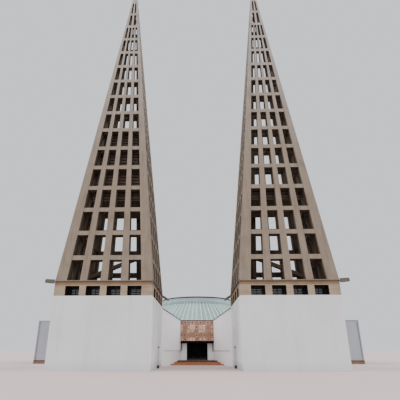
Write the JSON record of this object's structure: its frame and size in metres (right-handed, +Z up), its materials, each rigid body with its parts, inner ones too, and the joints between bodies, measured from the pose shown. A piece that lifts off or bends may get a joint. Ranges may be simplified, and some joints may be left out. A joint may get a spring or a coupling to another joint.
{
  "type": "modern church building, half-size model",
  "caption": "Modern church: tall concrete lattice spires on white blocks, a recessed portal between them and a low hall with a conical copper roof.",
  "frame": {"origin": "on the ground, in the middle of the building's box", "axes": "+Z up, -Y towards the front with the portal and the towers, +X to the right as seen from the front"},
  "size_m": [23.05, 19.6265, 27.3],
  "materials": {
    "white_plaster": "smooth white plaster with faint weathering",
    "beige_concrete": "fair-faced beige concrete, greyer towards the top",
    "green_copper": "patinated standing-seam copper sheet",
    "copper_relief": "brown copper relief, matt",
    "terracotta": "unglazed terracotta tiles",
    "dark_door": "near-black painted boards",
    "dark_metal": "dark painted steel",
    "dark_glass": "dark window glass in narrow frames"
  },
  "bodies": {
    "root": {"tower_front_wall_left": "white_plaster", "tower_back_wall_left": "white_plaster", "tower_inner_wall_left": "white_plaster", "tower_outer_wall_left": "white_plaster", "tower_window_band_left": "beige_concrete", "tower_deck_left": "beige_concrete", "spire_front_left": "beige_concrete", "spire_back_left": "beige_concrete", "spire_inner_left": "beige_concrete", "spire_outer_left": "beige_concrete", "spire_tip_left": "beige_concrete", "diagonal_wall_left": "white_plaster", "hall_front_wall_left": "white_plaster", "hall_side_wall_left": "white_plaster", "corner_post_left": "dark_metal", "door_jamb_left": "white_plaster", "tower_front_wall_right": "white_plaster", "tower_back_wall_right": "white_plaster", "tower_inner_wall_right": "white_plaster", "tower_outer_wall_right": "white_plaster", "tower_window_band_right": "beige_concrete", "tower_deck_right": "beige_concrete", "spire_front_right": "beige_concrete", "spire_back_right": "beige_concrete", "spire_inner_right": "beige_concrete", "spire_outer_right": "beige_concrete", "spire_tip_right": "beige_concrete", "diagonal_wall_right": "white_plaster", "hall_front_wall_right": "white_plaster", "hall_side_wall_right": "white_plaster", "corner_post_right": "dark_metal", "door_jamb_right": "white_plaster", "entrance_steps": "terracotta", "podium": "terracotta", "hall_back_wall": "white_plaster", "hall_roof": "white_plaster", "portal_lintel": "white_plaster", "relief_panel": "copper_relief", "roof_cone": "green_copper", "roof_crown": "green_copper", "tower_window_glass_left": "dark_glass", "tower_window_glass_right": "dark_glass", "roof_cap": "green_copper"},
    "door_left": {"door_leaf_left": "dark_door"},
    "door_right": {"door_leaf_right": "dark_door"}
  },
  "joints": [
    {"name": "door_left_hinge", "type": "hinge", "parent": "root", "child": "door_left", "pos_m": [-0.734, 1.253, 0.8], "axis": [0, 0, 1], "range_deg": [0, 95]},
    {"name": "door_right_hinge", "type": "hinge", "parent": "root", "child": "door_right", "pos_m": [0.734, 1.253, 0.8], "axis": [0, 0, -1], "range_deg": [0, 95]}
  ]
}
